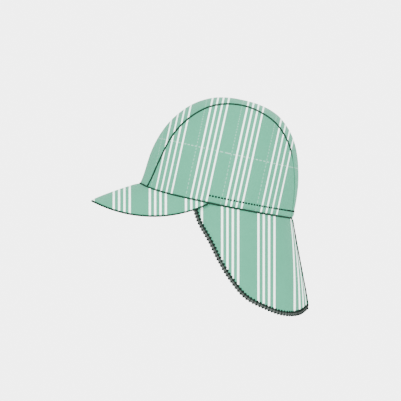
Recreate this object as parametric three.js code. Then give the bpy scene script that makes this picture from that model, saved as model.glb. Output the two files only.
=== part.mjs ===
// Toddler's sun cap with a curved peak and a neck flap, in millimetres, +Z up.
// The front faces -X, the wearer's left side is -Y, and the origin is the middle of the head opening.
import * as THREE from 'three';
import { mergeVertices } from 'three/addons/utils/BufferGeometryUtils.js';

const DEGREE = Math.PI / 180;
const GAP = 0.3; // clear space between two sewn pieces

// Crown: a domed cloth shell, tilted so that its back sits lower than its front.
const CROWN = { halfLength: 90.2, halfWidth: 75.5, height: 121.8, power: 2.42, apexShift: 5 };
const CROWN_TILT = 12.4 * DEGREE;
const CROWN_WALL = 1.8;
const FRONT_SLOPE = { reach: 3, height: 20 }; // the crown's foot runs out a little over the peak
const CASING = { height: 8, fade: 5, wall: 3 }; // folded hem round the head opening, with its elastic

// Height of the rim in the crown's own frame: level at the sides, lifted at the front and back.
const RIM = { side: -3.4, frontLift: 5.1, frontPower: 6, backLift: 2.9, backPower: 2 };

// Half width of the centre strip, by the angle along it: 0 is the front rim, 90 the top, 180 the back rim.
const STRIP_WIDTHS = [
  { angle: 0, halfWidth: 32.5 },
  { angle: 15, halfWidth: 36.6 },
  { angle: 30, halfWidth: 39.2 },
  { angle: 45, halfWidth: 38.4 },
  { angle: 60, halfWidth: 36.8 },
  { angle: 75, halfWidth: 34.4 },
  { angle: 90, halfWidth: 33 },
  { angle: 112, halfWidth: 30.2 },
  { angle: 136, halfWidth: 27 },
  { angle: 160, halfWidth: 21.5 },
  { angle: 180, halfWidth: 17 },
];

// Peak: its outer edge is half an oval that droops at both sides, and its middle bows up a little.
const PEAK = {
  tipX: -146, tipZ: 0.8, endX: -11.6, endZ: -2.9, fullness: 0.92, droop: 15.8, droopPower: 2.05, bow: 0.9,
  wall: 3, seamWall: 1, edgeWall: 1.4, seamFade: 8, edgeFade: 2.5, inset: 0.5,
};

// Neck flap: it hangs from the rim and flares outwards.
const FLAP = { inset: 2.4, wall: 1.5, flareBack: 0.178, flareSide: 0.1 };
// Soft folds that deepen towards the hem, counted round a full turn.
const FOLDS = { depth: 1.7, perTurn: 10, fullDrop: 100 };
// Drop of the flap's free edge below the rim, by the angle round the head from the centre back.
const HEM_DROPS = [
  { angle: 0, drop: 105.1 },
  { angle: 22, drop: 112.6 },
  { angle: 40, drop: 116.6 },
  { angle: 53, drop: 114.4 },
  { angle: 71, drop: 104.8 },
  { angle: 81.5, drop: 86.1 },
  { angle: 89.3, drop: 66 },
  { angle: 96.4, drop: 45 },
  { angle: 105, drop: 24 },
  { angle: 111, drop: 0 },
];
const EDGING = { width: 5, wall: 2.1, sides: 8 }; // thread-covered edge of the flap

// Numbers of steps that the curved walls are divided into.
const STEPS = {
  stripLong: 44, stripWide: 8, panelLong: 30, panelHigh: 12, peakWide: 36, flapWide: 58, flapHigh: 12,
};
// Places of the peak's rows between its seam and its outer edge, closer together where the wall tapers.
const PEAK_ROWS = [0, 0.07, 0.16, 0.3, 0.46, 0.62, 0.78, 0.9, 0.96, 1];

const mix = THREE.MathUtils.lerp;
const clamp = THREE.MathUtils.clamp;

function cloth(colour, roughness) {
  return new THREE.MeshStandardMaterial({ color: colour, roughness, metalness: 0 });
}

const MATERIALS = {
  crown: cloth(0x96bdab, 0.85),
  peak: cloth(0x9cc2b0, 0.85),
  flap: cloth(0x96bdab, 0.88),
  edging: cloth(0x2b312d, 0.8),
};

// Signed volume of a closed triangle mesh: positive where its faces point out.
function signedVolume(points, triangles) {
  let six = 0;
  for (const [a, b, c] of triangles) {
    six += points[a].dot(new THREE.Vector3().crossVectors(points[b], points[c]));
  }
  return six / 6;
}

// A named mesh from points and triangles, with doubled points joined and its faces pointing out.
function solid(name, material, points, triangles) {
  const flip = signedVolume(points, triangles) < 0;
  const index = triangles.flatMap(([a, b, c]) => (flip ? [a, c, b] : [a, b, c]));
  const loose = new THREE.BufferGeometry().setFromPoints(points);
  loose.setIndex(index);
  const joined = mergeVertices(loose, 1e-3);
  const kept = [];
  const order = joined.index.array;
  for (let i = 0; i < order.length; i += 3) {
    const [a, b, c] = order.subarray(i, i + 3);
    if (a !== b && b !== c && c !== a) kept.push(a, b, c);
  }
  joined.setIndex(kept);
  joined.computeVertexNormals();
  const mesh = new THREE.Mesh(joined, material);
  mesh.name = name;
  return mesh;
}

// A closed wall between an outside and an inside sheet, each a grid of columns by rows of points.
function wall(name, material, columns, rows, outside, inside) {
  const points = [];
  for (const sheet of [outside, inside]) {
    for (let j = 0; j <= rows; j++) {
      for (let i = 0; i <= columns; i++) points.push(sheet(i, j));
    }
  }
  const side = (columns + 1) * (rows + 1);
  const at = (i, j, layer) => layer * side + j * (columns + 1) + i;
  const triangles = [];
  const quad = (a, b, c, d) => triangles.push([a, b, c], [a, c, d]);
  for (let j = 0; j < rows; j++) {
    for (let i = 0; i < columns; i++) {
      quad(at(i, j, 0), at(i + 1, j, 0), at(i + 1, j + 1, 0), at(i, j + 1, 0));
      quad(at(i, j, 1), at(i, j + 1, 1), at(i + 1, j + 1, 1), at(i + 1, j, 1));
    }
  }
  for (let i = 0; i < columns; i++) {
    quad(at(i, 0, 0), at(i, 0, 1), at(i + 1, 0, 1), at(i + 1, 0, 0));
    quad(at(i + 1, rows, 0), at(i + 1, rows, 1), at(i, rows, 1), at(i, rows, 0));
  }
  for (let j = 0; j < rows; j++) {
    quad(at(columns, j, 0), at(columns, j, 1), at(columns, j + 1, 1), at(columns, j + 1, 0));
    quad(at(0, j + 1, 0), at(0, j + 1, 1), at(0, j, 1), at(0, j, 0));
  }
  return solid(name, material, points, triangles);
}

// The strip's half width at an angle along it in degrees, on a smooth curve through the table's rows.
const widthCurve = new THREE.CatmullRomCurve3(
  STRIP_WIDTHS.map((row) => new THREE.Vector3(row.angle, row.halfWidth, 0)),
  false,
  'catmullrom',
);

function stripHalfWidth(angle) {
  const last = STRIP_WIDTHS.length - 1;
  let k = 0;
  while (k < last - 1 && angle > STRIP_WIDTHS[k + 1].angle) k++;
  const share = THREE.MathUtils.inverseLerp(STRIP_WIDTHS[k].angle, STRIP_WIDTHS[k + 1].angle, angle);
  return widthCurve.getPoint((k + share) / last).y;
}

// Rim height in the crown's frame, where turn 0 is the front and 180 degrees the back.
function rimHeight(turn) {
  const c = Math.cos(turn);
  if (c > 0) return RIM.side + RIM.frontLift * c ** RIM.frontPower;
  return RIM.side + RIM.backLift * (-c) ** RIM.backPower;
}

// Scale that puts a direction on the crown's surface, drawn in by inset.
function crownScale(x, y, z, inset) {
  const flat = Math.hypot(x / (CROWN.halfLength - inset), y / (CROWN.halfWidth - inset));
  const high = Math.max(z, 0) / (CROWN.height - inset);
  return (flat ** CROWN.power + high ** CROWN.power) ** (-1 / CROWN.power);
}

// The dome's top leans a little towards the back, and its foot runs out at the front.
function leaned(point) {
  const front = Math.max(-point.x / CROWN.halfLength, 0) ** 4;
  const low = clamp(1 - point.z / FRONT_SLOPE.height, 0, 1);
  point.x += CROWN.apexShift * (Math.max(point.z, 0) / CROWN.height) ** 4;
  point.x -= FRONT_SLOPE.reach * front * low ** 2;
  return point;
}

// Wall thickness at a height above the rim: thicker inside the casing.
function crownWall(aboveRim) {
  const share = clamp((CASING.height + CASING.fade - aboveRim) / CASING.fade, 0, 1);
  return mix(CROWN_WALL, CASING.wall, share);
}

// Point of the crown in a direction, on its outside, or on its inside where depth is 1.
function onCrown(x, y, z, depth) {
  const outer = crownScale(x, y, z, 0);
  const turn = Math.atan2(y / CROWN.halfWidth, -x / CROWN.halfLength);
  const aboveRim = z * outer - rimHeight(turn);
  const scale = crownScale(x, y, z, depth * crownWall(aboveRim));
  return leaned(new THREE.Vector3(x, y, z).multiplyScalar(scale));
}

// Point of the rim at a turn round the opening, drawn in by inset and lowered.
function rimPoint(turn, inset, lowered) {
  return new THREE.Vector3(
    -(CROWN.halfLength - inset) * Math.cos(turn),
    (CROWN.halfWidth - inset) * Math.sin(turn),
    rimHeight(turn) - lowered,
  );
}

// Angle of the centre strip's course at its front or back rim, at a distance y from the middle.
function stripEndAngle(y, back) {
  const sideways = Math.asin(y / CROWN.halfWidth);
  const rim = rimPoint(back ? Math.PI - sideways : sideways, 0, 0);
  const angle = Math.atan2(rim.z, Math.abs(rim.x));
  return back ? Math.PI - angle : angle;
}

// Direction to the crown point at an angle along the strip and a distance y from the middle.
function stripDirection(angle, y) {
  const x = -Math.cos(angle);
  const z = Math.sin(angle);
  let reach = crownScale(x, 0, z, 0);
  for (let k = 0; k < 12; k++) reach = crownScale(x, y / reach, z, 0);
  return new THREE.Vector3(x * reach, y, z * reach);
}

// Direction at share along the strip and side, from -1 to 1, across it, widened by extra.
function stripPlace(share, side, extra) {
  const y = side * (stripHalfWidth(180 * share) + extra);
  return stripDirection(mix(stripEndAngle(y, false), stripEndAngle(y, true), share), y);
}

function centreStrip() {
  const sheet = (depth) => (i, j) => {
    const at = stripPlace(i / STEPS.stripLong, (2 * j) / STEPS.stripWide - 1, 0);
    return onCrown(at.x, at.y, at.z, depth);
  };
  return wall('crown_centre_strip', MATERIALS.crown, STEPS.stripLong, STEPS.stripWide, sheet(0), sheet(1));
}

// Side panel between the rim and the strip's seam. Side is 1 for the right of the wearer, -1 for the left.
function sidePanel(name, side) {
  const frontTurn = Math.asin((STRIP_WIDTHS[0].halfWidth + GAP) / CROWN.halfWidth);
  const backTurn = Math.PI - Math.asin((STRIP_WIDTHS.at(-1).halfWidth + GAP) / CROWN.halfWidth);
  const sheet = (depth) => (i, j) => {
    const share = i / STEPS.panelLong;
    const seam = stripPlace(share, side, GAP);
    const rim = rimPoint(side * mix(frontTurn, backTurn, share), 0, 0);
    const at = rim.lerp(seam, j / STEPS.panelHigh);
    return onCrown(at.x, at.y, at.z, depth);
  };
  return wall(name, MATERIALS.crown, STEPS.panelLong, STEPS.panelHigh, sheet(0), sheet(1));
}

// A point of the crown's frame in the cap's frame.
function tilted(point) {
  return point.applyAxisAngle(new THREE.Vector3(0, 1, 0), CROWN_TILT);
}

// Outer edge of the peak, from -90 to 90 degrees of turn.
function peakEdge(turn) {
  const forward = Math.cos(turn);
  const endY = CROWN.halfWidth * Math.sin(peakEndTurn());
  return new THREE.Vector3(
    mix(PEAK.endX, PEAK.tipX, forward),
    endY * Math.sign(turn) * Math.abs(Math.sin(turn)) ** PEAK.fullness,
    mix(PEAK.endZ, PEAK.tipZ, forward) - PEAK.droop * (1 - Math.abs(1 - 2 * forward) ** PEAK.droopPower),
  );
}

// Turn round the opening at which the peak's ends meet the rim.
function peakEndTurn() {
  return Math.acos(-PEAK.endX / CROWN.halfLength);
}

// Middle sheet of the peak: side runs from -1 to 1 across it, out from 0 at the seam to 1 at the edge.
function peakMiddle(side, out) {
  const seam = tilted(leaned(rimPoint(side * peakEndTurn(), PEAK.inset, GAP + PEAK.seamWall / 2)));
  const point = seam.lerp(peakEdge((side * Math.PI) / 2), out);
  point.z += PEAK.bow * Math.sin(Math.PI * out) * Math.cos((side * Math.PI) / 2);
  return point;
}

// Wall of the peak, tapered to its seam and rounded off at its edge.
function peakWall(side, out) {
  const width = peakMiddle(side, 0).distanceTo(peakMiddle(side, 1));
  const fromSeam = Math.min(1, (out * width) / PEAK.seamFade);
  const fromEdge = Math.min(1, ((1 - out) * width) / PEAK.edgeFade);
  const full = mix(PEAK.seamWall, PEAK.wall, Math.sin((fromSeam * Math.PI) / 2));
  return mix(Math.min(full, PEAK.edgeWall), full, fromEdge);
}

// Upward direction of a sheet at a place, from its slopes both ways.
function sheetNormal(sheet, u, v, step) {
  const across = sheet(u + step, v).sub(sheet(u - step, v));
  const along = sheet(u, v + step).sub(sheet(u, v - step));
  return across.cross(along).normalize();
}

function peak() {
  const rows = PEAK_ROWS.length - 1;
  const sheet = (face) => (i, j) => {
    const side = (2 * i) / STEPS.peakWide - 1;
    const out = PEAK_ROWS[j];
    const inner = clamp(side, -0.97, 0.97);
    const normal = sheetNormal(peakMiddle, inner, out, 0.01);
    return peakMiddle(side, out).addScaledVector(normal, (face * peakWall(side, out)) / 2);
  };
  return wall('peak', MATERIALS.peak, STEPS.peakWide, rows, sheet(1), sheet(-1));
}

// Point of the neck flap's middle sheet at an angle from the centre back and a drop below the rim.
function flapPoint(angle, drop, folded = true) {
  const top = tilted(rimPoint(Math.PI - angle, FLAP.inset, GAP));
  const depth = folded ? FOLDS.depth * (drop / FOLDS.fullDrop) ** 2 : 0;
  const fold = depth * Math.sin((FOLDS.perTurn * angle) / 2) ** 2;
  top.x += (FLAP.flareBack * drop - fold) * Math.cos(angle);
  top.y += (FLAP.flareSide * drop - fold) * Math.sin(angle);
  top.z -= drop;
  return top;
}

// Angle and drop of a point that lies on the unfolded flap.
function flapPlace(point, guess) {
  let angle = guess;
  let drop = 0;
  for (let k = 0; k < 6; k++) {
    drop = flapPoint(angle, 0, false).z - point.z;
    const length = CROWN.halfLength - FLAP.inset + FLAP.flareBack * drop;
    const width = CROWN.halfWidth - FLAP.inset + FLAP.flareSide * drop;
    angle = Math.atan2(point.y / width, point.x / length);
  }
  return { angle, drop };
}

// Evenly spaced places along the flap's free edge, from the wearer's left to the right.
function hemPlaces(count) {
  const perDegree = CROWN.halfLength * DEGREE; // puts both columns in millimetres, so that the steps are even
  const right = HEM_DROPS.map((row) => new THREE.Vector3(row.angle * perDegree, row.drop, 0));
  const left = right.slice(1).map((p) => new THREE.Vector3(-p.x, p.y, 0)).reverse();
  const curve = new THREE.CatmullRomCurve3([...left, ...right], false, 'catmullrom');
  return curve.getSpacedPoints(count).map((p) => ({ angle: p.x / CROWN.halfLength, drop: Math.max(p.y, 0) }));
}

// Place at a distance inwards from the free edge, never above the rim.
function insideHem(places, i, distance) {
  const here = places[i];
  const point = flapPoint(here.angle, here.drop, false);
  const before = places[Math.max(i - 1, 0)];
  const after = places[Math.min(i + 1, places.length - 1)];
  const along = flapPoint(after.angle, after.drop, false).sub(flapPoint(before.angle, before.drop, false));
  const normal = sheetNormal((a, d) => flapPoint(a, d, false), here.angle, here.drop, 0.01);
  const inwards = along.cross(normal).normalize();
  const inner = flapPlace(point.addScaledVector(inwards, distance), here.angle);
  return { angle: inner.angle, drop: Math.max(inner.drop, 0) };
}

function neckFlap(places) {
  const last = places.length - 1;
  const lower = places.map((place, i) => insideHem(places, i, EDGING.width + GAP));
  const topAngle = lower.map((place, i) => mix(lower[0].angle, lower[last].angle, i / last));
  const sheet = (face) => (i, j) => {
    const down = j / STEPS.flapHigh;
    const angle = mix(topAngle[i], lower[i].angle, down);
    const drop = lower[i].drop * down;
    const normal = sheetNormal(flapPoint, angle, drop, 0.01);
    return flapPoint(angle, drop).addScaledVector(normal, (face * FLAP.wall) / 2);
  };
  return wall('neck_flap', MATERIALS.flap, last, STEPS.flapHigh, sheet(1), sheet(-1));
}

// The edging is an oval section carried along the free edge.
function flapEdging(places) {
  const points = [];
  places.forEach((place, i) => {
    const inner = insideHem(places, i, EDGING.width);
    const angle = mix(inner.angle, place.angle, 0.5);
    const drop = mix(inner.drop, place.drop, 0.5);
    const normal = sheetNormal(flapPoint, angle, drop, 0.01);
    const middle = flapPoint(angle, drop);
    const reach = flapPoint(place.angle, place.drop).sub(middle);
    for (let k = 0; k < EDGING.sides; k++) {
      const round = (2 * Math.PI * k) / EDGING.sides;
      const point = middle.clone().addScaledVector(reach, Math.cos(round));
      points.push(point.addScaledVector(normal, (Math.sin(round) * EDGING.wall) / 2));
    }
  });
  const triangles = [];
  const at = (i, k) => i * EDGING.sides + (k % EDGING.sides);
  for (let i = 0; i < places.length - 1; i++) {
    for (let k = 0; k < EDGING.sides; k++) {
      triangles.push([at(i, k), at(i + 1, k), at(i + 1, k + 1)], [at(i, k), at(i + 1, k + 1), at(i, k + 1)]);
    }
  }
  const end = places.length - 1;
  for (let k = 1; k < EDGING.sides - 1; k++) {
    triangles.push([at(0, 0), at(0, k), at(0, k + 1)], [at(end, 0), at(end, k + 1), at(end, k)]);
  }
  return solid('flap_edging', MATERIALS.edging, points, triangles);
}

const crown = new THREE.Group();
crown.rotation.y = CROWN_TILT;
crown.add(centreStrip(), sidePanel('crown_left_panel', -1), sidePanel('crown_right_panel', 1));

const hem = hemPlaces(STEPS.flapWide);
const group = new THREE.Group();
group.add(crown, peak(), neckFlap(hem), flapEdging(hem));

export default group;
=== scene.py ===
import math

import bmesh
import bpy
from mathutils import Matrix, Vector, noise


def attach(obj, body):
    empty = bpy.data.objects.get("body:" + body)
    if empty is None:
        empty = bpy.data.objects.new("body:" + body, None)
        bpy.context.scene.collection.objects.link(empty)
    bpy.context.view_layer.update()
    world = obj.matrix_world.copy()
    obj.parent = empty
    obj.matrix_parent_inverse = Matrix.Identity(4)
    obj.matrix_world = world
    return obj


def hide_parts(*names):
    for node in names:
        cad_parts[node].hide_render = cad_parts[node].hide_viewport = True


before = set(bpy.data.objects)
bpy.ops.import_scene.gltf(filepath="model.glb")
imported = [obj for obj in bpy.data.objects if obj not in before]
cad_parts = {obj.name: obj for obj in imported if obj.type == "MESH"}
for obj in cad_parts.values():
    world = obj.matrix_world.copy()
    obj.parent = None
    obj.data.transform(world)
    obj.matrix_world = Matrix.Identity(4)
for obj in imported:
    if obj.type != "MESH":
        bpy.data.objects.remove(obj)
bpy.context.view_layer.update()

# Toddler's sun cap: striped cotton crown, curved peak, and a neck flap with an overlocked edge.
# The cap's sizes are in millimetres, and MM turns them into metres where a mesh is made.
# The studio's sizes and the flap's cut size, at the end, are in metres.
# Angles are in degrees in the tables and in names that end with DEGREES, and in radians elsewhere.
MM = 0.001

# The camera looks straight at the wearer's left side, as a flat drawing does.
VIEW_CENTRE = (-19.8, 1.2)
VIEW_WIDTH = 466.4
VIEW_DISTANCE = 2000

# Crown: a domed shell, tilted so that its back sits lower than its front.
HALF_LENGTH, HALF_WIDTH, HEIGHT, POWER, APEX_SHIFT = 90.2, 75.5, 121.8, 2.42, 5
TILT = math.radians(12.4)
RIM_SIDE, RIM_FRONT, RIM_FRONT_POWER, RIM_BACK, RIM_BACK_POWER = -3.4, 5.1, 6, 2.9, 2
SLOPE_REACH, SLOPE_HEIGHT = 3, 20  # the crown's foot runs out a little over the peak
LEAN_POWER = 4  # how late the top's lean and the foot's slope set in
RIM_CALM = 12  # the crown's hollows set in so far above the rim
CLOTH = 1.3  # thickness of the crown's cloth
PANEL_GAP = 0.3  # between the edges of the strip and of a side panel
RIM_GAP = 0.3  # between the crown's rim and the peak or the flap below it
STRIP_RUN = 400  # about the length of the strip over the crown, for its weave

# Elastic casing: the height of its stitch line above the rim, and where it begins, round from the front.
CASING = 8.3
CASING_START, CASING_FULL = math.radians(82.3), math.radians(96)
TURN_IN, TURN_IN_HEIGHT = 1.6, 8  # the rim draws in at the back
CASING_PUFF, CASING_GROOVE = 0.5, 0.5
GATHERS, GATHER_HEIGHT, GATHER_START, GATHER_REACH, GATHER_LENGTH = 15, 0.55, 4, 9, 30
HEM_WALL, HEM_EXTRA, HEM_RADIUS = 1.0, 1.6, 80  # the hem inside: its cloth, its height past the stitches

# Relief of the cloth: its soft hollows, by size and depth, and what a seam does to it.
CROWN_HOLLOWS, CROWN_RIPPLES = (55, 0.9), (19, 0.3)
PEAK_HOLLOWS, FLAP_HOLLOWS = (40, 0.3), (45, 1.4)
GROOVE_DEPTH, GROOVE_WIDTH = 0.8, 0.9
PUCKER_HEIGHT, PUCKER_SIZE, PUCKER_REACH = 0.25, 3.4, 5
SWELL_HEIGHT, SWELL_PLACE, SWELL_WIDTH = 0.3, 3, 2.2
RIM_TUCK, RIM_TUCK_HEIGHT = 0.5, 0.8
ALLOWANCE_HALF, ALLOWANCE_WALL = 5.5, 0.7  # a seam's two layers, pressed open inside
FAR = 99.0  # stands for a place well away from any seam

# Half width of the centre strip by the angle along it: 0 is the front rim, 90 the top, 180 the back rim.
STRIP_ANGLES = (0, 15, 30, 45, 60, 75, 90, 112, 136, 160, 180)
STRIP_HALF_WIDTHS = (32.5, 36.6, 39.2, 38.4, 36.8, 34.4, 33, 30.2, 27, 21.5, 17)

# Peak: half an oval in plan, drooping at both sides, its middle bowed up a little.
PEAK_TIP, PEAK_END = (-146, 0.8), (-11.6, -2.9)
PEAK_DROOP, PEAK_DROOP_POWER, PEAK_BOW = 15.8, 2.05, 0.9
PEAK_FULLNESS, PEAK_INSET = 0.92, 0.5
PEAK_WALL, PEAK_SEAM_WALL, PEAK_EDGE_WALL = 2.9, 1.0, 1.5
PEAK_SWELL, PEAK_THINNING = 8, 2.5  # how far from the seam it is full, and how near the edge it thins
PEAK_SEAM_ROUND, PEAK_EDGE_ROUND = 0.5, 0.7
PEAK_CALM, PEAK_RUN = 10, 110  # its edges lie calm so far in, and half its run round the rim

# Neck flap: drop of its free edge below the rim, by the angle round the head from the centre back.
FLAP_INSET, FLAP_CLOTH, FLARE_BACK, FLARE_SIDE = 2.4, 1.1, 0.178, 0.1
FLAP_TOP_END = math.radians(107.6)
FLAP_CALM, FLAP_RADIUS = 40, 85  # its cloth lies calm so far down, and its mean radius
FLAP_SEAM_RELIEF = 0.6  # share of the crown's relief that its back seam has
FOLD_DEPTH, FOLD_DROP, FOLDS_PER_TURN = 1.7, 100, 10
HEM_ANGLES = (0, 22, 40, 53, 71, 81.5, 89.3, 96.4, 105, 111)
HEM_DROPS = (105.1, 112.6, 116.6, 114.4, 104.8, 86.1, 66, 45, 24, 0)
STRIPE_TURN = 0.55  # least share of the cloth's width that the flap's stripes keep as they turn to the back

# Threads: the strip seams' dark thread runs from the front rim to an angle over the back, and then thins out.
SEAM_RADIUS, STRIP_SEAM_RADIUS, THIN_SEAM_RADIUS, PEAK_EDGE_RADIUS = 1.2, 1.35, 0.15, 1.25
FLAP_INSIDE_RADIUS = 0.5
DARK_SEAM_END_DEGREES, THINNING_DEGREES = 134, 4
STRIP_SEAM_LIFT, RIM_SEAM_LIFT, FLAP_SEAM_LIFT = 0.1, 0.25, 1.4 * FLAP_CLOTH
RIM_SEAM_LOWERED = (0.2, -0.3)  # how far the rim's thread lies below the rim, at the front and at the back
RIM_SEAM_CHANGE = (-0.1, 0.5)  # where the one turns into the other, by the cosine from the centre back
STITCH_SIZE, STITCH_STEP = (2.7, 2.4, 1.7), 3.65
STITCH_LIFT_OUTSIDE, STITCH_LIFT_INSIDE = 0.2, -CLOTH - 1.1

# Overlocked edge: the reach of its threads, where the cloth ends inside it, and the step between its loops.
EDGING, CLOTH_END, EDGING_STEP = 5.2, 1.5, 3.9
BED_OUTER, BED_HALF_WALL, BED_SQUARENESS = 0.4, 0.8, 0.6
BED_ENDS = 200  # its ends round off within this part of its length
THREAD_SLANT = 0.4

# Rows of its rounded threads: how far into the flap, how far outwards, and the three radii of each.
LOOPS = (2.3, 0, (0.85, 2.2, 1.3))
NEEDLE_STITCHES = (EDGING - 0.8, 0.75, (1.5, 1.75, 0.9))
EDGE_KNOTS = (0.6, 0, (1.4, 1.3, 1.45))

# Stripes: groups of four. A group's middle is given along the piece, and then the step to the next group.
STRIPE_PITCH = 6.2
CROWN_GROUP, CROWN_PERIOD, CROWN_STRIPE = 19.6, 41.6, 1.95
STRIPE_NARROWING = 0.6  # how much of the stripes' widening at the front and back is taken away
STRIPE_SOFTNESS = 0.03  # of its edges, as a share of the pitch
BODY_GROUP, BODY_PERIOD, BODY_STRIPE = 14.6, 42.0, 2.4

# Faint broken lines of the crown's cloth: one beside each group, and a level one.
DASHED_LEVEL, DASHES_END, DASH_HALF_WIDTH, DASH_SHARE = 57.5, 84, 0.6, 0.62
UPRIGHT_STEP, UPRIGHT_STRENGTH = 5.2, 0.1
LEVEL_STEP, LEVEL_STRENGTH = 6.4, 0.17

# Cotton: the width of two yarns and the stripes' fuzz, and how finely its surface varies, per metre.
YARN_PAIR, FUZZ = 0.62, 0.5
FUZZ_SCALE, HEATHER_SCALE, CRUMPLE_SCALE, TONE_SCALE = 2400.0, 1500.0, 130.0, 38.0

# Points of a mesh that lie closer than this are joined.
JOINED, FINELY_JOINED = 0.02, 0.01


def mix(a, b, t):
    return a + (b - a) * t


def ramp(x, low, high):
    """0 below low, 1 above high and smooth between."""
    t = min(max((x - low) / (high - low), 0), 1)
    return t * t * (3 - 2 * t)


def table(places, values, at):
    """Value at a place, on the smooth curve through a table."""
    last = len(places) - 1
    k = 0
    while k < last - 1 and at > places[k + 1]:
        k += 1
    t = (at - places[k]) / (places[k + 1] - places[k])
    p1, p2 = values[k], values[k + 1]
    p0 = values[k - 1] if k else 2 * p1 - p2
    p3 = values[k + 2] if k + 2 <= last else 2 * p2 - p1
    slope1, slope2 = (p2 - p0) / 2, (p3 - p1) / 2
    a = 2 * p1 - 2 * p2 + slope1 + slope2
    b = -3 * p1 + 3 * p2 - 2 * slope1 - slope2
    return ((a * t + b) * t + slope1) * t + p1


# Crown surface


def rim_height(turn):
    c = math.cos(turn)
    lift = RIM_FRONT * c**RIM_FRONT_POWER if c > 0 else RIM_BACK * (-c) ** RIM_BACK_POWER
    return RIM_SIDE + lift


def crown_scale(x, y, z):
    """How many times a direction has to be taken to reach the plain crown."""
    flat = math.hypot(x / HALF_LENGTH, y / HALF_WIDTH)
    high = max(z, 0) / HEIGHT
    return (flat**POWER + high**POWER) ** (-1 / POWER)


def leaned(p):
    """The dome's top leans a little towards the back, and its foot runs out at the front."""
    front = max(-p.x / HALF_LENGTH, 0) ** LEAN_POWER
    low = min(max(1 - p.z / SLOPE_HEIGHT, 0), 1)
    shift = APEX_SHIFT * (max(p.z, 0) / HEIGHT) ** LEAN_POWER - SLOPE_REACH * front * low**2
    return Vector((p.x + shift, p.y, p.z))


def on_crown(at):
    """Point of the crown in a direction, in the crown's own frame."""
    return leaned(at * crown_scale(*at))


def turn_of(at):
    """The angle round the head from the front, towards the wearer's right."""
    return math.atan2(at.y / HALF_WIDTH, -at.x / HALF_LENGTH)


def rim_point(turn, inset=0, lowered=0):
    """Point of the rim, drawn in and lowered by millimetres, in the crown's own frame."""
    x = -(HALF_LENGTH - inset) * math.cos(turn)
    y = (HALF_WIDTH - inset) * math.sin(turn)
    return Vector((x, y, rim_height(turn) - lowered))


def tilted(p):
    """From the crown's own frame to the cap's."""
    c, s = math.cos(TILT), math.sin(TILT)
    return Vector((p.x * c + p.z * s, p.y, p.z * c - p.x * s))


def strip_end_angle(y, back):
    """The angle over the head at which the strip meets the rim, y to the side."""
    sideways = math.asin(y / HALF_WIDTH)
    rim = rim_point(math.pi - sideways if back else sideways)
    angle = math.atan2(rim.z, abs(rim.x))
    return math.pi - angle if back else angle


def strip_direction(angle, y):
    """Point of the plain crown at an angle over the head, y to the side. A few rounds settle its reach."""
    x, z = -math.cos(angle), math.sin(angle)
    reach = crown_scale(x, 0, z)
    for _ in range(8):
        reach = crown_scale(x, y / reach, z)
    return Vector((x * reach, y, z * reach))


def strip_place(share, side, extra=0):
    """Place at a share of the strip's length: side is -1 and 1 at its edges, and extra goes past them."""
    y = side * (table(STRIP_ANGLES, STRIP_HALF_WIDTHS, 180 * share) + extra)
    return strip_direction(mix(strip_end_angle(y, False), strip_end_angle(y, True), share), y)


def crown_normal(p):
    """Outward direction at a point of the crown."""
    flat = math.hypot(p.x / HALF_LENGTH, p.y / HALF_WIDTH) ** (POWER - 2)
    up = (max(p.z, 0) / HEIGHT) ** (POWER - 1) / HEIGHT
    return Vector((flat * p.x / HALF_LENGTH**2, flat * p.y / HALF_WIDTH**2, up)).normalized()


def unevenness(p, size, depth):
    """Soft hollows and swellings of cloth, about size across."""
    return depth * noise.noise(p / size)


def seam_relief(p, distance):
    """The groove, the puckers and the slight swell beside a sewn seam."""
    groove = -GROOVE_DEPTH * math.exp(-((distance / GROOVE_WIDTH) ** 2))
    pucker = PUCKER_HEIGHT * noise.noise(p / PUCKER_SIZE) * math.exp(-distance / PUCKER_REACH)
    return groove + pucker + SWELL_HEIGHT * math.exp(-(((distance - SWELL_PLACE) / SWELL_WIDTH) ** 2))


def casing_relief(turn, above):
    """The elastic casing: drawn in at the rim, puffed, grooved at its stitches and gently gathered."""
    drawn_in = -TURN_IN * (1 - min(above / TURN_IN_HEIGHT, 1)) ** 2
    puff = CASING_PUFF * math.sin(math.pi * min(above / CASING, 1)) ** 2
    groove = -CASING_GROOVE * math.exp(-(((above - CASING) / GROOVE_WIDTH) ** 2))
    folds = noise.noise(Vector((GATHERS * math.cos(turn), GATHERS * math.sin(turn), above / GATHER_LENGTH)))
    gather = GATHER_HEIGHT * folds * math.exp(-max(above - CASING, 0) / GATHER_REACH)
    gather *= ramp(above, 0, GATHER_START)
    return drawn_in + puff + groove + gather


def crown_relief(p, seam_distance):
    """How far the cloth stands out from the plain crown at a point, at a distance from its seam."""
    turn = turn_of(p)
    above = max(p.z - rim_height(turn), 0)
    soft = unevenness(p, *CROWN_HOLLOWS) + unevenness(p, *CROWN_RIPPLES)
    out = soft * ramp(above, 0, RIM_CALM) + seam_relief(p, seam_distance)
    out += ramp(abs(turn), CASING_START, CASING_FULL) * casing_relief(turn, above)
    return out - RIM_TUCK * math.exp(-((above / RIM_TUCK_HEIGHT) ** 2))


def crown_cloth(at, seam_distance=FAR, lift=0):
    """Point of the crown's cloth in a direction, and the outward direction there."""
    p = on_crown(at)
    out = crown_normal(p)
    return tilted(p + out * (crown_relief(p, seam_distance) + lift)), tilted(out)


def crown_pattern(p):
    """Cloth coordinates of a point of the crown: across the stripes and along them."""
    c, s = math.cos(TILT), math.sin(TILT)
    return p.x * c - p.z * s, p.x * s + p.z * c


# Meshes


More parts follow.
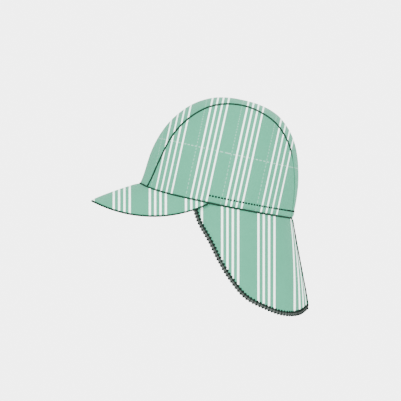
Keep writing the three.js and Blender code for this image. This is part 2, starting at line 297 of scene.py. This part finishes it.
def grid(columns, rows, place):
    """A grid sheet whose points come from place(u, v): a point and its two pairs of cloth coordinates."""
    bm = bmesh.new()
    bmesh.ops.create_grid(bm, x_segments=columns, y_segments=rows, size=0.5)
    spots = {}
    for v in bm.verts:
        p, pattern, weave = place(v.co.x + 0.5, v.co.y + 0.5)
        spots[v] = (pattern, weave)
        v.co = p * MM
    for layer_name, k in (("pattern", 0), ("weave", 1)):
        layer = bm.loops.layers.uv.new(layer_name)
        for face in bm.faces:
            for loop in face.loops:
                a, b = spots[loop.vert][k]
                loop[layer].uv = (a * MM, b * MM)
    return bm


def finished(name, bm, material):
    """A smooth-shaded piece from a mesh under construction."""
    for face in bm.faces:
        face.smooth = True
    mesh = bpy.data.meshes.new(name)
    bm.to_mesh(mesh)
    bm.free()
    piece = bpy.data.objects.new(name, mesh)
    bpy.context.scene.collection.objects.link(piece)
    mesh.materials.append(material)
    return piece


def thicken(piece, thickness, offset):
    wall = piece.modifiers.new("wall", "SOLIDIFY")
    wall.thickness = thickness * MM
    wall.offset = offset
    wall.use_even_offset = True


def refine(piece):
    fine = piece.modifiers.new("fine", "SUBSURF")
    fine.levels = fine.render_levels = 1


def edge_spaced(t, closeness=0.82):
    """Moves even steps closer together at both ends."""
    return t - closeness * math.sin(2 * math.pi * t) / (2 * math.pi)


def thread(name, points, radius, material, closed=False, radii=None):
    """A thread along points, as a round tube. radii are shares of its radius, one for each point."""
    curve = bpy.data.curves.new(name, "CURVE")
    curve.dimensions = "3D"
    curve.bevel_depth = radius * MM
    curve.bevel_resolution = 1
    curve.use_fill_caps = True
    line = curve.splines.new("POLY")
    line.points.add(len(points) - 1)
    line.use_cyclic_u = closed
    for k, p in enumerate(points):
        line.points[k].co = (*(p * MM), 1)
        line.points[k].radius = radii[k] if radii else 1
    holder = bpy.data.objects.new(name, curve)
    bpy.context.scene.collection.objects.link(holder)
    seen = holder.evaluated_get(bpy.context.evaluated_depsgraph_get())
    mesh = bpy.data.meshes.new_from_object(seen)
    bpy.data.objects.remove(holder)
    bpy.data.curves.remove(curve)
    mesh.name = name
    mesh.materials.clear()
    mesh.materials.append(material)
    mesh.polygons.foreach_set("use_smooth", [True] * len(mesh.polygons))
    piece = bpy.data.objects.new(name, mesh)
    bpy.context.scene.collection.objects.link(piece)
    return piece


def add_bead(bm, at, axes, radii, segments, rings):
    """Adds a rounded bead at a point, with a radius along each of its three axes."""
    turned = Matrix(axes).transposed().to_4x4()
    bead = Matrix.Translation(at * MM) @ turned @ Matrix.Diagonal((*(r * MM for r in radii), 1))
    bmesh.ops.create_uvsphere(bm, u_segments=segments, v_segments=rings, radius=1, matrix=bead)


# Materials


class Nodes:
    """A material's node tree, built from its own shader backwards."""

    def __init__(self, name, roughness, sheen=0.0, specular=0.25):
        self.material = bpy.data.materials.new(name)
        self.material.use_nodes = True
        self.tree = self.material.node_tree
        self.shader = self.tree.nodes["Principled BSDF"]
        self.shader.inputs["Roughness"].default_value = roughness
        self.shader.inputs["Sheen Weight"].default_value = sheen
        self.shader.inputs["Sheen Roughness"].default_value = 0.4
        self.shader.inputs["Specular IOR Level"].default_value = specular

    def add(self, kind, **inputs):
        node = self.tree.nodes.new(kind)
        for key, value in inputs.items():
            self.set(node.inputs[key.replace("_", " ")], value)
        return node

    def set(self, socket, value):
        if isinstance(value, bpy.types.NodeSocket):
            self.tree.links.new(value, socket)
        else:
            socket.default_value = value

    def math(self, operation, a, b=0.0):
        node = self.tree.nodes.new("ShaderNodeMath")
        node.operation = operation
        for socket, value in zip(node.inputs, (a, b)):
            self.set(socket, value)
        return node.outputs[0]

    def soft(self, value, low, high):
        node = self.tree.nodes.new("ShaderNodeMapRange")
        node.interpolation_type = "SMOOTHSTEP"
        for socket, given in zip(node.inputs, (value, low, high, 0.0, 1.0)):
            self.set(socket, given)
        return node.outputs[0]

    def blend(self, factor, a, b):
        node = self.tree.nodes.new("ShaderNodeMix")
        node.data_type = "RGBA"
        self.set(node.inputs[0], factor)
        self.set(node.inputs[6], a)
        self.set(node.inputs[7], b)
        return node.outputs[2]

    def noise(self, vector, scale, detail=2.0):
        node = self.add("ShaderNodeTexNoise", Vector=vector, Scale=scale, Detail=detail)
        return node.outputs[0]

    def bump(self, height, strength, distance, before=None):
        node = self.add("ShaderNodeBump", Height=height, Strength=strength, Distance=distance)
        if before is not None:
            self.set(node.inputs["Normal"], before)
        return node.outputs[0]

    def place(self):
        return self.add("ShaderNodeTexCoord").outputs["Object"]

    def own_map(self, name):
        """A pair of numbers that the piece's mesh holds at each corner, under a name."""
        node = self.add("ShaderNodeUVMap")
        node.uv_map = name
        return node.outputs[0]

    def parts(self, vector):
        return self.add("ShaderNodeSeparateXYZ", Vector=vector).outputs

    def dash(self, along, step):
        """1 on the dashes of a broken line and 0 between them."""
        return self.math("LESS_THAN", self.math("FRACT", self.math("DIVIDE", along, step * MM)), DASH_SHARE)

    def colour(self, socket):
        self.set(self.shader.inputs["Base Color"], socket)

    def normal(self, socket):
        self.set(self.shader.inputs["Normal"], socket)


def linear(red, green, blue):
    """A colour given as it looks on a screen, from 0 to 255."""
    return (*(((c / 255 + 0.055) / 1.055) ** 2.4 if c > 10 else c / 3295 for c in (red, green, blue)), 1)


GREEN, GREEN_DEEP = linear(58, 131, 104), linear(51, 123, 96)
WHITE = linear(238, 251, 245)
SEAM_DARK, SEAM_LIGHT = linear(12, 32, 23), linear(25, 51, 39)
CASING_DARK, CASING_LIGHT = linear(7, 21, 15), linear(16, 34, 26)
EDGE_DARK, EDGE_GREEN, EDGE_GREY = linear(2, 4, 3), linear(20, 36, 30), linear(62, 66, 64)
BED_GREEN, BED_GREY = linear(28, 48, 39), linear(68, 75, 71)


def striped_cotton(name, group, period, width, on_crown_cloth=False):
    """Plain-woven cotton with groups of four narrow stripes, read from the piece's own cloth coordinates."""
    n = Nodes(name, 0.9, sheen=0.06)
    pattern, weave = n.own_map("pattern"), n.own_map("weave")
    u, v, _ = n.parts(pattern)
    fuzz = n.noise(weave, FUZZ_SCALE)
    u = n.math("ADD", u, n.math("MULTIPLY", n.math("SUBTRACT", fuzz, 0.5), FUZZ * MM))
    turns = n.math("DIVIDE", n.math("SUBTRACT", u, group * MM), period * MM)
    turned = n.math("SUBTRACT", n.math("FRACT", n.math("ADD", turns, 0.5)), 0.5)
    offset = n.math("MULTIPLY", turned, period * MM)
    steps = n.math("DIVIDE", offset, STRIPE_PITCH * MM)
    line = n.math("ABSOLUTE", n.math("SUBTRACT", n.math("FRACT", steps), 0.5))
    within = n.math("LESS_THAN", n.math("ABSOLUTE", offset), 2 * STRIPE_PITCH * MM)
    narrowing = n.parts(n.own_map("narrowing"))[0] if on_crown_cloth else 1.0
    half = n.math("MULTIPLY", width / STRIPE_PITCH / 2, narrowing)
    edge = n.soft(line, n.math("SUBTRACT", half, STRIPE_SOFTNESS), n.math("ADD", half, STRIPE_SOFTNESS))
    stripe = n.math("MULTIPLY", n.math("SUBTRACT", 1.0, edge), within)
    tone = n.soft(n.noise(pattern, TONE_SCALE, detail=3.0), 0.3, 0.75)
    heather = n.soft(n.noise(weave, HEATHER_SCALE, detail=1.0), 0.35, 0.7)
    green = n.blend(n.math("MULTIPLY", n.math("ADD", tone, heather), 0.3), GREEN, GREEN_DEEP)
    colour = n.blend(stripe, green, WHITE)
    if on_crown_cloth:
        colour = n.blend(broken_lines(n, u, v, offset, narrowing), colour, WHITE)
    n.colour(colour)
    along, across, _ = n.parts(weave)
    warp = n.math("SINE", n.math("MULTIPLY", along, math.tau / (YARN_PAIR * MM)))
    weft = n.math("SINE", n.math("MULTIPLY", across, math.tau / (YARN_PAIR * MM)))
    crumple = n.bump(n.noise(weave, CRUMPLE_SCALE, detail=3.0), 0.35, 0.9 * MM)
    n.normal(n.bump(n.math("MULTIPLY", warp, weft), 0.35, 0.12 * MM, crumple))
    return n.material


def broken_lines(n, u, v, offset, narrowing):
    """Strength of the faint broken lines: one beside each group of stripes, and a level one."""
    aside = n.math("ABSOLUTE", n.parts(n.place())[1])
    beside = n.math("ABSOLUTE", n.math("ADD", offset, 2.5 * STRIPE_PITCH * MM))
    run = n.dash(n.math("SUBTRACT", v, aside), UPRIGHT_STEP)
    side = n.math("LESS_THAN", n.math("ABSOLUTE", u), DASHES_END * MM)
    width = n.math("MULTIPLY", narrowing, DASH_HALF_WIDTH * MM)
    upright = n.math("MULTIPLY", n.math("LESS_THAN", beside, width), run)
    level = n.math("ABSOLUTE", n.math("SUBTRACT", v, DASHED_LEVEL * MM))
    run = n.dash(n.math("SUBTRACT", n.math("ABSOLUTE", u), aside), LEVEL_STEP)
    across = n.math("MULTIPLY", n.math("LESS_THAN", level, DASH_HALF_WIDTH * MM), run)
    upright = n.math("MULTIPLY", upright, UPRIGHT_STRENGTH)
    across = n.math("MULTIPLY", across, LEVEL_STRENGTH)
    return n.math("MULTIPLY", n.math("MAXIMUM", upright, across), side)


def sewing_thread(name, dark, light, scale):
    n = Nodes(name, 0.85, specular=0.08)
    strands = n.noise(n.place(), scale)
    n.colour(n.blend(n.soft(strands, 0.35, 0.7), dark, light))
    n.normal(n.bump(strands, 0.5, 0.2 * MM))
    return n.material


def overlock_bed(name):
    """Dense looper threads lying slantwise across the edge: dark at the needle line, greyer outside."""
    n = Nodes(name, 0.85, specular=0.08)
    along, across, _ = n.parts(n.own_map("pattern"))
    slant = n.math("ADD", along, n.math("MULTIPLY", across, THREAD_SLANT))
    ply = n.math("SINE", n.math("MULTIPLY", slant, math.tau / (EDGING_STEP / 4 * MM)))
    ply = n.math("ADD", n.math("MULTIPLY", ply, 0.5), 0.5)
    outer = n.blend(ply, EDGE_GREY, BED_GREY)
    n.colour(n.blend(n.soft(across, 0.45 * EDGING * MM, 0.75 * EDGING * MM), outer, BED_GREEN))
    n.normal(n.bump(ply, 0.7, 0.3 * MM))
    return n.material


def plain_paper(name, shade):
    n = Nodes(name, 0.95)
    darker = (*(c * 0.985 for c in shade[:3]), 1)
    n.colour(n.blend(n.noise(n.place(), 6.0), shade, darker))
    return n.material


CROWN_STRIPES = (CROWN_GROUP, CROWN_PERIOD, CROWN_STRIPE)
BODY_STRIPES = (BODY_GROUP, BODY_PERIOD, BODY_STRIPE)
CROWN_COTTON = striped_cotton("crown_striped_cotton", *CROWN_STRIPES, on_crown_cloth=True)
BODY_COTTON = striped_cotton("peak_and_flap_striped_cotton", *BODY_STRIPES)
SEAM_THREAD = sewing_thread("seam_thread", SEAM_DARK, SEAM_LIGHT, scale=1800.0)
CASING_THREAD = sewing_thread("casing_thread", CASING_DARK, CASING_LIGHT, scale=1800.0)
NEEDLE_THREAD = sewing_thread("overlock_needle_thread", EDGE_DARK, EDGE_GREEN, scale=1400.0)
LOOPER_THREAD = sewing_thread("overlock_looper_thread", EDGE_DARK, EDGE_GREY, scale=1400.0)
BED_THREAD = overlock_bed("overlock_bed_threads")


def place_piece(piece, node=None):
    """Rides the piece on the cap, and hides the solid of model.glb that it stands for, if one is named."""
    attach(piece, "root")
    if node:
        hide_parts(node)
    return piece


# Crown pieces


def crown_sheet(name, columns, rows, place):
    """A sheet of the crown's cloth. Its narrowing map thins the stripes where it faces the front or back."""
    bm = grid(columns, rows, place)
    bmesh.ops.remove_doubles(bm, verts=bm.verts, dist=JOINED * MM)
    bm.normal_update()
    narrowing = bm.loops.layers.uv.new("narrowing")
    for face in bm.faces:
        for loop in face.loops:
            out = loop.vert.normal
            ahead = out.x * math.cos(TILT) - out.z * math.sin(TILT)
            loop[narrowing].uv = (mix(1, math.sqrt(max(1 - ahead**2, 0)), STRIPE_NARROWING), 0)
    return finished(name, bm, CROWN_COTTON)


def crown_piece(name, node, columns, rows, place):
    piece = crown_sheet(name, columns, rows, place)
    thicken(piece, CLOTH, -1)
    refine(piece)
    place_piece(piece, node)


def strip_spot(u, v):
    """The centre strip: u runs from the front rim over the top to the back rim, and v across."""
    side = 2 * edge_spaced(v) - 1
    share = edge_spaced(u, closeness=0.6)
    half = table(STRIP_ANGLES, STRIP_HALF_WIDTHS, 180 * share)
    shown, _ = crown_cloth(strip_place(share, side), (1 - abs(side)) * half)
    return shown, crown_pattern(shown), (share * STRIP_RUN, side * half)


def panel_spot(side):
    """A side panel, in columns from the rim up to the strip's seam. side is -1 on the wearer's left."""
    front = math.asin((STRIP_HALF_WIDTHS[0] + PANEL_GAP) / HALF_WIDTH)
    back = math.pi - math.asin((STRIP_HALF_WIDTHS[-1] + PANEL_GAP) / HALF_WIDTH)
    columns = {}

    def spot(u, v):
        share = edge_spaced(u if side < 0 else 1 - u, closeness=0.6)
        if share not in columns:
            rim = rim_point(side * mix(front, back, share))
            columns[share] = (rim, strip_place(share, side, PANEL_GAP))
        rim, seam = columns[share]
        up = edge_spaced(v)
        reach = (rim - seam).length
        shown, _ = crown_cloth(rim.lerp(seam, up), (1 - up) * reach)
        pattern = crown_pattern(shown)
        return shown, pattern, (pattern[0], up * reach)

    return spot


def crown():
    crown_piece("centre_strip_cloth", "crown_centre_strip", columns=200, rows=36, place=strip_spot)
    crown_piece("left_panel_cloth", "crown_left_panel", columns=140, rows=84, place=panel_spot(-1))
    crown_piece("right_panel_cloth", "crown_right_panel", columns=140, rows=84, place=panel_spot(1))


def seam_allowance(name, side):
    """The two layers of a strip seam pressed open, seen inside the crown."""
    start, end = 0.015, 0.985

    def spot(u, v):
        share, across = mix(start, end, u), ALLOWANCE_HALF * (2 * v - 1)
        shown, _ = crown_cloth(strip_place(share, side, across), lift=-CLOTH - ALLOWANCE_WALL / 2)
        return shown, crown_pattern(shown), (share * STRIP_RUN, across)

    piece = crown_sheet(name, columns=160, rows=6, place=spot)
    thicken(piece, ALLOWANCE_WALL, 0)
    place_piece(piece)


def casing_hem():
    """The cloth turned up inside the back of the rim, which holds the elastic."""

    def spot(u, v):
        turn = mix(CASING_START, math.tau - CASING_START, u)
        above = v * (CASING + HEM_EXTRA)
        shown, _ = crown_cloth(rim_point(turn, lowered=-above), lift=-CLOTH - HEM_WALL / 2)
        return shown, crown_pattern(shown), (turn * HEM_RADIUS, above)

    piece = crown_sheet("casing_hem_inside", columns=160, rows=8, place=spot)
    thicken(piece, HEM_WALL, 0)
    place_piece(piece)


def crown_inside():
    seam_allowance("left_seam_allowance", -1)
    seam_allowance("right_seam_allowance", 1)
    casing_hem()


# Peak


def peak_end_turn():
    """The angle round the rim, from the front, at which the peak ends."""
    return math.acos(-PEAK_END[0] / HALF_LENGTH)


def peak_edge(turn):
    """Point of the peak's outer edge. turn goes a quarter turn to each side of the front."""
    forward = math.cos(turn)
    end_y = HALF_WIDTH * math.sin(peak_end_turn())
    x = mix(PEAK_END[0], PEAK_TIP[0], forward)
    y = end_y * math.copysign(abs(math.sin(turn)) ** PEAK_FULLNESS, turn)
    droop = PEAK_DROOP * (1 - abs(1 - 2 * forward) ** PEAK_DROOP_POWER)
    return Vector((x, y, mix(PEAK_END[1], PEAK_TIP[1], forward) - droop))


def peak_middle(side, out):
    """Point in the middle of the peak's wall, out being 0 at the crown's seam and 1 at the edge."""
    lowered = RIM_GAP + PEAK_SEAM_WALL / 2
    seam = tilted(leaned(rim_point(side * peak_end_turn(), PEAK_INSET, lowered)))
    middle = seam.lerp(peak_edge(side * math.pi / 2), out)
    middle.z += PEAK_BOW * math.sin(math.pi * out) * math.cos(side * math.pi / 2)
    return middle


def sheet_normal(place, u, v, step=0.01):
    """Direction square to a sheet, from its own points on both sides of a spot."""
    across = place(u + step, v) - place(u - step, v)
    along = place(u, v + step) - place(u, v - step)
    return across.cross(along).normalized()


def peak_spot(u, v):
    """The peak's skin: v runs out over its upper face and back under its lower one."""
    side = 2 * edge_spaced(u, closeness=0.7) - 1
    out = (1 - math.cos(2 * math.pi * v)) / 2
    face = 1 if v <= 0.5 else -1
    middle = peak_middle(side, out)
    width = (peak_edge(side * math.pi / 2) - peak_middle(side, 0)).length
    from_seam, from_edge = out * width, (1 - out) * width
    full = mix(PEAK_SEAM_WALL, PEAK_WALL, math.sin(min(1, from_seam / PEAK_SWELL) * math.pi / 2))
    thick = mix(min(full, PEAK_EDGE_WALL), full, min(1, from_edge / PEAK_THINNING))
    rounded = math.sqrt(min(1, from_edge / PEAK_EDGE_ROUND)) * math.sqrt(min(1, from_seam / PEAK_SEAM_ROUND))
    inner = min(max(side, -0.97), 0.97)  # away from the ends, where the sheet comes to a point
    normal = sheet_normal(peak_middle, inner, out)
    soft = unevenness(middle, *PEAK_HOLLOWS) * min(1, from_edge / PEAK_CALM) * min(1, from_seam / PEAK_CALM)
    p = middle + normal * (face * thick * rounded / 2 + soft)
    return p, (p.x, face * p.y), (side * PEAK_RUN, face * (out - 1) * width)


def peak():
    bm = grid(columns=150, rows=80, place=peak_spot)
    bmesh.ops.remove_doubles(bm, verts=bm.verts, dist=JOINED * MM)
    bmesh.ops.holes_fill(bm, edges=[edge for edge in bm.edges if edge.is_boundary])
    bmesh.ops.recalc_face_normals(bm, faces=bm.faces)
    piece = finished("peak_cloth", bm, BODY_COTTON)
    place_piece(piece, "peak")


# Neck flap


def flap_point(angle, drop, folded=True):
    """Point in the middle of the flap's cloth, by the angle from the centre back and the drop."""
    top = tilted(rim_point(math.pi - angle, FLAP_INSET, RIM_GAP))
    fold = 0
    if folded:
        fold = FOLD_DEPTH * (drop / FOLD_DROP) ** 2 * math.sin(FOLDS_PER_TURN * angle / 2) ** 2
    top.x += (FLARE_BACK * drop - fold) * math.cos(angle)
    top.y += (FLARE_SIDE * drop - fold) * math.sin(angle)
    top.z -= drop
    return top


def hem_curve(count, inset=0):
    """Even places along the flap's free edge, drawn in by inset, as angle and drop, and its length."""
    angles = [-a for a in HEM_ANGLES[:0:-1]] + list(HEM_ANGLES)
    drops = list(HEM_DROPS[:0:-1]) + list(HEM_DROPS)
    spots = range(len(angles))
    per_row = 40
    fine = per_row * (len(angles) - 1)
    dense = []
    for k in range(fine + 1):
        at = k / per_row
        dense.append((math.radians(table(spots, angles, at)), max(table(spots, drops, at), 0)))
    lengths = [0]
    for (a0, d0), (a1, d1) in zip(dense, dense[1:]):
        lengths.append(lengths[-1] + math.hypot((a1 - a0) * HALF_LENGTH, d1 - d0))
    places, k = [], 0
    for i in range(count + 1):
        goal = lengths[-1] * i / count
        while k < fine - 1 and lengths[k + 1] < goal:
            k += 1
        t = (goal - lengths[k]) / (lengths[k + 1] - lengths[k])
        aside = (dense[k + 1][0] - dense[k][0]) * HALF_LENGTH
        down = dense[k + 1][1] - dense[k][1]
        share = inset / max(math.hypot(aside, down), 1e-9)
        angle = mix(dense[k][0], dense[k + 1][0], t) + share * down / HALF_LENGTH
        drop = mix(dense[k][1], dense[k + 1][1], t) - share * aside
        places.append((angle, max(drop, 0)))
    return places, lengths[-1]


def flap_pattern(angle, drop):
    """Cloth coordinate across the stripes: straight down from the side, then wrapped round to the back."""
    length = HALF_LENGTH - FLAP_INSET + FLARE_BACK * drop
    width = HALF_WIDTH - FLAP_INSET + FLARE_SIDE * drop
    limit = math.atan(width / length * STRIPE_TURN / math.sqrt(1 - STRIPE_TURN**2))
    if abs(angle) >= limit:
        return flap_point(angle, drop, folded=False).x
    middle = (limit + abs(angle)) / 2
    arc = (limit - abs(angle)) * math.hypot(length * math.sin(middle), width * math.cos(middle))
    return flap_point(limit, drop, folded=False).x + STRIPE_TURN * arc


def flap_cloth_point(angle, drop, lift=0):
    """Point of the flap's cloth with its soft unevenness, and the direction outwards there."""
    middle = flap_point(angle, drop)
    normal = -sheet_normal(flap_point, angle, max(drop, 0.02))
    soft = unevenness(middle, *FLAP_HOLLOWS) * ramp(drop, 0, FLAP_CALM)
    from_back = abs(angle) * HALF_WIDTH
    return middle + normal * (soft + lift + FLAP_SEAM_RELIEF * seam_relief(middle, from_back)), normal


def flap():
    """The flap's cloth, from its seam at the rim down to the overlocked edge."""
    places, _ = hem_curve(260, CLOTH_END)
    last = len(places) - 1

    def spot(u, v):
        end_angle, end_drop = places[round(u * last)]
        down = edge_spaced(v, closeness=0.5)
        angle = mix(mix(-FLAP_TOP_END, FLAP_TOP_END, u), end_angle, down)
        drop = end_drop * down
        shown, _ = flap_cloth_point(angle, drop)
        moved = shown.x - flap_point(angle, drop, folded=False).x
        return shown, (flap_pattern(angle, drop) + moved, -drop), (angle * FLAP_RADIUS, drop)

    bm = grid(columns=last, rows=70, place=spot)
    bmesh.ops.remove_doubles(bm, verts=bm.verts, dist=JOINED * MM)
    piece = finished("neck_flap_cloth", bm, BODY_COTTON)
    thicken(piece, FLAP_CLOTH, 0)
    return place_piece(piece, "neck_flap")


def flap_seam_inside():
    """The two layers of the flap's centre back seam, pressed open, and the thread between them."""
    start, end = 2, HEM_DROPS[0] - EDGING

    def spot(u, v):
        drop, across = mix(start, end, u), ALLOWANCE_HALF * (2 * v - 1)
        angle = across / HALF_WIDTH
        shown, _ = flap_cloth_point(angle, drop, lift=-(FLAP_CLOTH + ALLOWANCE_WALL) / 2)
        return shown, (flap_pattern(angle, drop), -drop), (across, drop)

    allowance = finished("flap_seam_allowance", grid(columns=80, rows=6, place=spot), BODY_COTTON)
    thicken(allowance, ALLOWANCE_WALL, 0)
    place_piece(allowance)
    lift = -FLAP_CLOTH / 2 - ALLOWANCE_WALL
    points = [flap_cloth_point(0, drop, lift)[0] for drop in range(start, int(end))]
    place_piece(thread("flap_inside_thread", points, FLAP_INSIDE_RADIUS, SEAM_THREAD))


# Overlocked edge of the flap


def hem_frames(count):
    """Places along the flap's edge: the point, and the directions along it, into the flap and outwards."""
    places, length = hem_curve(count)
    points, normals = zip(*(flap_cloth_point(*place) for place in places))
    frames = []
    for k, p in enumerate(points):
        along = (points[min(k + 1, count)] - points[max(k - 1, 0)]).normalized()
        inward = normals[k].cross(along).normalized()
        frames.append((p, along, inward, normals[k]))
    return frames, length


def edge_bed():
    """The flat band of threads that wraps the raw edge."""
    count = 420
    frames, length = hem_frames(count)
    half = (EDGING - BED_OUTER) / 2

    def spot(u, v):
        p, _, inward, normal = frames[round(u * count)]
        full = min(1, BED_ENDS * u, BED_ENDS * (1 - u)) ** 0.5
        around = math.tau * v
        across = BED_OUTER + half - half * full * math.cos(around)
        up = math.sin(around)
        out = BED_HALF_WALL * full * math.copysign(abs(up) ** BED_SQUARENESS, up)
        return p + inward * across + normal * out, (u * length, across), (u * length, across)

    bm = grid(columns=count, rows=16, place=spot)
    bmesh.ops.remove_doubles(bm, verts=bm.verts, dist=FINELY_JOINED * MM)
    bmesh.ops.recalc_face_normals(bm, faces=bm.faces)
    return place_piece(finished("overlock_bed", bm, BED_THREAD), "flap_edging")


def edge_beads(name, row, material, slant=0.0, faces=(1, -1)):
    """A row of rounded threads, one for each stitch, on the faces of the edge."""
    across, out, radii = row
    _, length = hem_curve(1)
    count = round(length / EDGING_STEP)
    frames, _ = hem_frames(2 * count)
    bm = bmesh.new()
    for k in range(1, 2 * count, 2):
        p, along, inward, normal = frames[k]
        lead = (along + inward * slant).normalized()
        cross = (inward - along * slant).normalized()
        for face in faces:
            at = p + inward * across + normal * (out * face)
            add_bead(bm, at, (lead, cross, normal), radii, segments=10, rings=8)
    bmesh.ops.recalc_face_normals(bm, faces=bm.faces)
    return place_piece(finished(name, bm, material))


def edging():
    return [
        edge_bed(),
        edge_beads("overlock_loops", LOOPS, LOOPER_THREAD, slant=THREAD_SLANT, faces=(1,)),
        edge_beads("overlock_needle_stitches", NEEDLE_STITCHES, NEEDLE_THREAD),
        edge_beads("overlock_edge_knots", EDGE_KNOTS, NEEDLE_THREAD, faces=(1,)),
    ]


# Seams and stitches


def strip_seam(name, side):
    """Dark thread along a strip seam, which thins out over the back of the crown."""
    steps = 360
    shares = [k / steps for k in range(steps + 1)]
    seam = [strip_place(share, side, PANEL_GAP / 2) for share in shares]
    points = [crown_cloth(place, lift=STRIP_SEAM_LIFT)[0] for place in seam]
    thinning = (DARK_SEAM_END_DEGREES - THINNING_DEGREES, DARK_SEAM_END_DEGREES + THINNING_DEGREES)
    thin = [ramp(180 * share, *thinning) for share in shares]
    radii = [mix(1, THIN_SEAM_RADIUS / STRIP_SEAM_RADIUS, t) for t in thin]
    return thread(name, points, STRIP_SEAM_RADIUS, SEAM_THREAD, radii=radii)


def rim_seam():
    steps = 400
    points = []
    for k in range(steps):
        turn = math.tau * k / steps
        lowered = mix(*RIM_SEAM_LOWERED, ramp(-math.cos(turn), *RIM_SEAM_CHANGE))
        points.append(crown_cloth(rim_point(turn, lowered=lowered), lift=RIM_SEAM_LIFT)[0])
    return thread("rim_seam", points, SEAM_RADIUS, SEAM_THREAD, closed=True)


def peak_edge_seam():
    steps = 240
    points = [peak_edge(mix(-1, 1, k / steps) * math.pi / 2) for k in range(steps + 1)]
    return thread("peak_edge_seam", points, PEAK_EDGE_RADIUS, SEAM_THREAD)


def flap_back_seam():
    drops = range(1, round(HEM_DROPS[0]) - 2)
    points = [flap_cloth_point(0, drop, FLAP_SEAM_LIFT)[0] for drop in drops]
    return thread("flap_back_seam", points, STRIP_SEAM_RADIUS, SEAM_THREAD)


def seam_threads():
    strip_seams = [strip_seam("left_strip_seam", -1), strip_seam("right_strip_seam", 1)]
    for piece in (*strip_seams, rim_seam(), peak_edge_seam(), flap_back_seam()):
        place_piece(piece)


def casing_stitches():
    """Dark running stitches that hold the casing, seen outside and inside."""
    count = round((math.tau - 2 * CASING_START) * HALF_LENGTH / STITCH_STEP)
    radii = [size / 2 for size in STITCH_SIZE]
    bm = bmesh.new()
    for k in range(count):
        turn = mix(CASING_START, math.tau - CASING_START, (k + 0.5) / count)
        for lift, face in ((STITCH_LIFT_OUTSIDE, 1), (STITCH_LIFT_INSIDE, -1)):
            here, out = crown_cloth(rim_point(turn, lowered=-CASING), lift=lift)
            ahead, _ = crown_cloth(rim_point(turn + 0.01, lowered=-CASING), lift=lift)
            along, out = (ahead - here).normalized() * face, out * face
            side = out.cross(along).normalized()
            add_bead(bm, here, (along, side, out), radii, segments=8, rings=6)
    bmesh.ops.recalc_face_normals(bm, faces=bm.faces)
    place_piece(finished("casing_stitches", bm, CASING_THREAD))


# Studio


def camera():
    """Looks at the wearer's left side, without perspective."""
    data = bpy.data.cameras.new("side_camera")
    data.type = "ORTHO"
    data.ortho_scale = VIEW_WIDTH * MM
    data.clip_end = 50
    eye = bpy.data.objects.new("side_camera", data)
    bpy.context.scene.collection.objects.link(eye)
    eye.location = (VIEW_CENTRE[0] * MM, -VIEW_DISTANCE * MM, VIEW_CENTRE[1] * MM)
    eye.rotation_euler = (math.pi / 2, 0, 0)
    bpy.context.scene.camera = eye


def air(seen, shed):
    """The surroundings: how bright they look, and how much light they shed."""
    world = bpy.context.scene.world or bpy.data.worlds.new("studio_air")
    bpy.context.scene.world = world
    world.use_nodes = True
    tree = world.node_tree
    light = tree.nodes["Background"]
    light.inputs["Color"].default_value = (1, 1, 1, 1)
    light.inputs["Strength"].default_value = shed
    behind = tree.nodes.new("ShaderNodeBackground")
    behind.inputs["Color"].default_value = (1, 1, 1, 1)
    behind.inputs["Strength"].default_value = seen
    either = tree.nodes.new("ShaderNodeMixShader")
    path = tree.nodes.new("ShaderNodeLightPath")
    tree.links.new(path.outputs["Is Camera Ray"], either.inputs[0])
    tree.links.new(light.outputs[0], either.inputs[1])
    tree.links.new(behind.outputs[0], either.inputs[2])
    tree.links.new(either.outputs[0], tree.nodes["World Output"].inputs["Surface"])


def studio():
    """Pale paper below the cap, an even light all round it, and three soft lamps."""
    bm = bmesh.new()
    bmesh.ops.create_grid(bm, x_segments=2, y_segments=2, size=6)
    bmesh.ops.translate(bm, verts=bm.verts, vec=(0, 0, -0.24))
    floor = finished("studio_floor", bm, plain_paper("pale_paper", (0.93, 0.93, 0.93, 1)))
    air(seen=5, shed=1.85)
    for name, place, power, size in (
        ("key_light", (-0.9, -1.3, 1.3), 76, 1.2),
        ("fill_light", (1.3, -1.0, 0.5), 32, 1.2),
        ("back_light", (0.4, 1.4, 1.1), 30, 1.2),
    ):
        data = bpy.data.lights.new(name, "AREA")
        data.energy = power
        data.size = size
        lamp = bpy.data.objects.new(name, data)
        bpy.context.scene.collection.objects.link(lamp)
        lamp.location = place
        lamp.rotation_euler = (-Vector(place)).to_track_quat("-Z", "Y").to_euler()


camera()
crown()
crown_inside()
peak()
flap_piece = flap()
flap_seam_inside()
edge_pieces = edging()
seam_threads()
casing_stitches()
studio()
